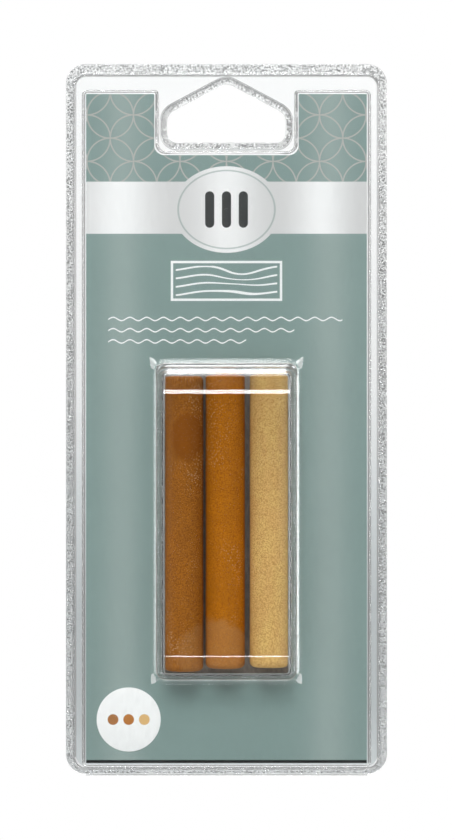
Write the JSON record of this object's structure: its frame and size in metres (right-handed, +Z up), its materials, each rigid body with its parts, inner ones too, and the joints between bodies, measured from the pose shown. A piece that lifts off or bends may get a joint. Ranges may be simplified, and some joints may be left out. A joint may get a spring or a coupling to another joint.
{
  "type": "hanging pack of furniture repair wax sticks",
  "caption": "Clear hinged hanging pack with a raised bay that shows furniture repair wax sticks in front of a folded printed card.",
  "frame": {"origin": "top of the hang hole, on the seam plane between the two halves of the shell, where a display peg carries the pack", "axes": "+Z up, -Y out of the front where the bay stands, +X to the right seen from the front"},
  "size_m": [0.0802, 0.0127, 0.1778],
  "materials": {
    "front_sheet": "gloss",
    "rear_sheet": "gloss",
    "printed_card": "satin",
    "label_paper": "matte",
    "dark_wax": "satin",
    "middle_wax": "satin",
    "pale_wax": "satin"
  },
  "bodies": {
    "rear_half": {"rear_shell": "rear_sheet", "fold_strip": "rear_sheet", "insert_card": "printed_card", "shade_label": "label_paper"},
    "front_half": {"front_shell": "front_sheet"},
    "dark_wax_stick": {"dark_stick": "dark_wax"},
    "middle_wax_stick": {"middle_stick": "middle_wax"},
    "pale_wax_stick": {"pale_stick": "pale_wax"}
  },
  "joints": [
    {"name": "front_open", "type": "hinge", "parent": "rear_half", "child": "front_half", "pos_m": [0, 0, -0.1723], "axis": [1, 0, 0], "range_deg": [0, 180], "deforming": ["fold_strip"]},
    {"name": "dark_stick_slide", "type": "slide", "parent": "front_half", "child": "dark_wax_stick", "axis": [0, 0, 1], "range_m": [-0.0004, 0.0012]},
    {"name": "middle_stick_slide", "type": "slide", "parent": "front_half", "child": "middle_wax_stick", "axis": [0, 0, 1], "range_m": [-0.0011, 0.0005]},
    {"name": "pale_stick_slide", "type": "slide", "parent": "front_half", "child": "pale_wax_stick", "axis": [0, 0, 1], "range_m": [-0.00135, 0.00025]}
  ]
}
